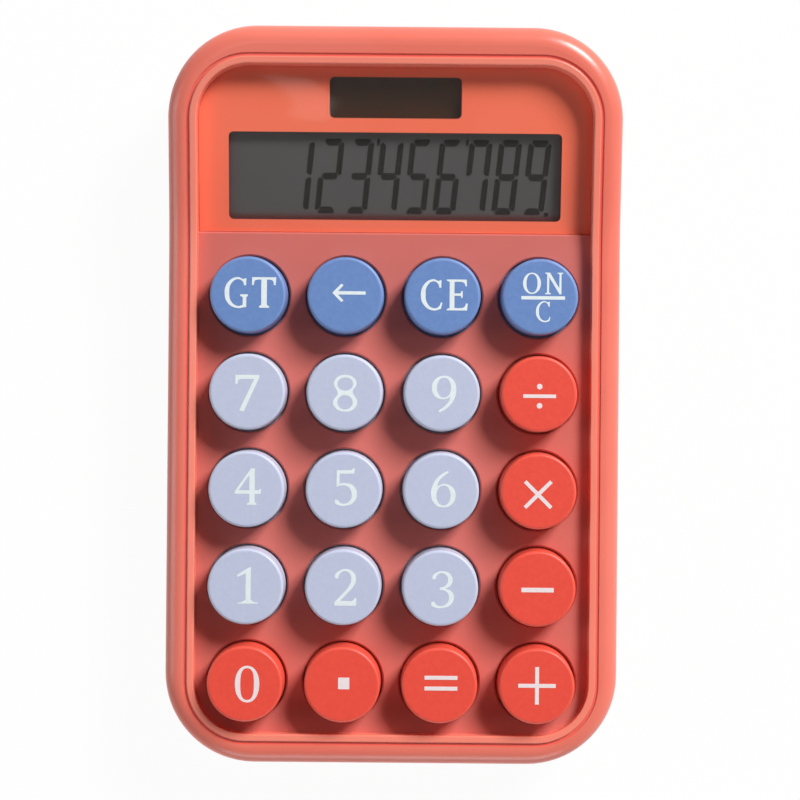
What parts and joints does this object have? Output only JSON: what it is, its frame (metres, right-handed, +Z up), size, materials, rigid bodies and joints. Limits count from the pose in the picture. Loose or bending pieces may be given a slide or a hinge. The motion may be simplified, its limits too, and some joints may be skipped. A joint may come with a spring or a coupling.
{
  "type": "desk calculator",
  "caption": "Desk calculator with round push keys on a sunken deck, a raised sloping display window with a solar cell, a rounded hollow case, rubber feet and a twist-off battery cap.",
  "frame": {"origin": "centre of the footprint, on the desk plane under the feet", "axes": "+Z up, +Y away from the user towards the display, +X to the user's right"},
  "size_m": [0.0896, 0.1452, 0.025],
  "materials": {
    "case_coral": "polished coral moulding with a finely textured deck",
    "base_coral": "fine textured coral moulding",
    "key_blue": "satin moulding",
    "key_lavender": "satin moulding",
    "key_red": "satin moulding",
    "lens_clear": "clear polished acrylic",
    "mask_print": "printed film",
    "lcd_glass": "dark grey display glass",
    "lcd_film": "reflector film",
    "holder_black": "black moulding",
    "ribbon_film": "amber film",
    "solar_glass": "dark brown coated glass",
    "board_laminate": "green laminate",
    "chip_resin": "black resin",
    "keypad_rubber": "grey silicone",
    "pill_carbon": "conductive rubber",
    "cell_steel": "plated can",
    "contact_steel": "plated spring strip",
    "lead_insulation": "insulated wire",
    "screw_steel": "zinc plated",
    "foot_rubber": "soft rubber"
  },
  "bodies": {
    "case": {"top_shell": "case_coral", "bottom_shell": "base_coral", "button_cell": "cell_steel", "cell_contact_negative": "contact_steel", "cell_contact_positive": "contact_steel", "cell_leads": "lead_insulation", "main_board": "board_laminate", "controller_blob": "chip_resin", "keypad_mat": "keypad_rubber", "contact_pills": "pill_carbon", "display_lens": "lens_clear", "display_mask": "mask_print", "lcd_panel": "lcd_glass", "lcd_reflector": "lcd_film", "lcd_holder": "holder_black", "lcd_ribbon": "ribbon_film", "solar_cell": "solar_glass", "solar_leads": "lead_insulation", "rubber_feet": "foot_rubber", "case_screws": "screw_steel", "board_screws": "screw_steel", "holder_screws": "screw_steel"},
    "cap": {"battery_cap": "base_coral"},
    "key_body_total": {"key_total": "key_blue"},
    "key_body_back": {"key_back": "key_blue"},
    "key_body_clear_entry": {"key_clear_entry": "key_blue"},
    "key_body_on_clear": {"key_on_clear": "key_blue"},
    "key_body_7": {"key_7": "key_lavender"},
    "key_body_8": {"key_8": "key_lavender"},
    "key_body_9": {"key_9": "key_lavender"},
    "key_body_divide": {"key_divide": "key_red"},
    "key_body_4": {"key_4": "key_lavender"},
    "key_body_5": {"key_5": "key_lavender"},
    "key_body_6": {"key_6": "key_lavender"},
    "key_body_times": {"key_times": "key_red"},
    "key_body_1": {"key_1": "key_lavender"},
    "key_body_2": {"key_2": "key_lavender"},
    "key_body_3": {"key_3": "key_lavender"},
    "key_body_minus": {"key_minus": "key_red"},
    "key_body_0": {"key_0": "key_red"},
    "key_body_point": {"key_point": "key_red"},
    "key_body_equals": {"key_equals": "key_red"},
    "key_body_plus": {"key_plus": "key_red"}
  },
  "joints": [
    {"name": "press_total", "type": "slide", "parent": "case", "child": "key_body_total", "axis": [0, 0, -1], "range_m": [0, 0.0025], "stiffness_N_per_m": 220, "springref_m": -0.0015, "deforming": ["keypad_mat", "contact_pills"]},
    {"name": "press_back", "type": "slide", "parent": "case", "child": "key_body_back", "axis": [0, 0, -1], "range_m": [0, 0.0025], "stiffness_N_per_m": 220, "springref_m": -0.0015, "deforming": ["keypad_mat", "contact_pills"]},
    {"name": "press_clear_entry", "type": "slide", "parent": "case", "child": "key_body_clear_entry", "axis": [0, 0, -1], "range_m": [0, 0.0025], "stiffness_N_per_m": 220, "springref_m": -0.0015, "deforming": ["keypad_mat", "contact_pills"]},
    {"name": "press_on_clear", "type": "slide", "parent": "case", "child": "key_body_on_clear", "axis": [0, 0, -1], "range_m": [0, 0.0025], "stiffness_N_per_m": 220, "springref_m": -0.0015, "deforming": ["keypad_mat", "contact_pills"]},
    {"name": "press_7", "type": "slide", "parent": "case", "child": "key_body_7", "axis": [0, 0, -1], "range_m": [0, 0.0025], "stiffness_N_per_m": 220, "springref_m": -0.0015, "deforming": ["keypad_mat", "contact_pills"]},
    {"name": "press_8", "type": "slide", "parent": "case", "child": "key_body_8", "axis": [0, 0, -1], "range_m": [0, 0.0025], "stiffness_N_per_m": 220, "springref_m": -0.0015, "deforming": ["keypad_mat", "contact_pills"]},
    {"name": "press_9", "type": "slide", "parent": "case", "child": "key_body_9", "axis": [0, 0, -1], "range_m": [0, 0.0025], "stiffness_N_per_m": 220, "springref_m": -0.0015, "deforming": ["keypad_mat", "contact_pills"]},
    {"name": "press_divide", "type": "slide", "parent": "case", "child": "key_body_divide", "axis": [0, 0, -1], "range_m": [0, 0.0025], "stiffness_N_per_m": 220, "springref_m": -0.0015, "deforming": ["keypad_mat", "contact_pills"]},
    {"name": "press_4", "type": "slide", "parent": "case", "child": "key_body_4", "axis": [0, 0, -1], "range_m": [0, 0.0025], "stiffness_N_per_m": 220, "springref_m": -0.0015, "deforming": ["keypad_mat", "contact_pills"]},
    {"name": "press_5", "type": "slide", "parent": "case", "child": "key_body_5", "axis": [0, 0, -1], "range_m": [0, 0.0025], "stiffness_N_per_m": 220, "springref_m": -0.0015, "deforming": ["keypad_mat", "contact_pills"]},
    {"name": "press_6", "type": "slide", "parent": "case", "child": "key_body_6", "axis": [0, 0, -1], "range_m": [0, 0.0025], "stiffness_N_per_m": 220, "springref_m": -0.0015, "deforming": ["keypad_mat", "contact_pills"]},
    {"name": "press_times", "type": "slide", "parent": "case", "child": "key_body_times", "axis": [0, 0, -1], "range_m": [0, 0.0025], "stiffness_N_per_m": 220, "springref_m": -0.0015, "deforming": ["keypad_mat", "contact_pills"]},
    {"name": "press_1", "type": "slide", "parent": "case", "child": "key_body_1", "axis": [0, 0, -1], "range_m": [0, 0.0025], "stiffness_N_per_m": 220, "springref_m": -0.0015, "deforming": ["keypad_mat", "contact_pills"]},
    {"name": "press_2", "type": "slide", "parent": "case", "child": "key_body_2", "axis": [0, 0, -1], "range_m": [0, 0.0025], "stiffness_N_per_m": 220, "springref_m": -0.0015, "deforming": ["keypad_mat", "contact_pills"]},
    {"name": "press_3", "type": "slide", "parent": "case", "child": "key_body_3", "axis": [0, 0, -1], "range_m": [0, 0.0025], "stiffness_N_per_m": 220, "springref_m": -0.0015, "deforming": ["keypad_mat", "contact_pills"]},
    {"name": "press_minus", "type": "slide", "parent": "case", "child": "key_body_minus", "axis": [0, 0, -1], "range_m": [0, 0.0025], "stiffness_N_per_m": 220, "springref_m": -0.0015, "deforming": ["keypad_mat", "contact_pills"]},
    {"name": "press_0", "type": "slide", "parent": "case", "child": "key_body_0", "axis": [0, 0, -1], "range_m": [0, 0.0025], "stiffness_N_per_m": 220, "springref_m": -0.0015, "deforming": ["keypad_mat", "contact_pills"]},
    {"name": "press_point", "type": "slide", "parent": "case", "child": "key_body_point", "axis": [0, 0, -1], "range_m": [0, 0.0025], "stiffness_N_per_m": 220, "springref_m": -0.0015, "deforming": ["keypad_mat", "contact_pills"]},
    {"name": "press_equals", "type": "slide", "parent": "case", "child": "key_body_equals", "axis": [0, 0, -1], "range_m": [0, 0.0025], "stiffness_N_per_m": 220, "springref_m": -0.0015, "deforming": ["keypad_mat", "contact_pills"]},
    {"name": "press_plus", "type": "slide", "parent": "case", "child": "key_body_plus", "axis": [0, 0, -1], "range_m": [0, 0.0025], "stiffness_N_per_m": 220, "springref_m": -0.0015, "deforming": ["keypad_mat", "contact_pills"]},
    {"name": "cap_turn", "type": "hinge", "parent": "case", "child": "cap", "pos_m": [0, 0.05675, 0.0013], "axis": [0, 0, -1], "range_deg": [0, 60]}
  ]
}
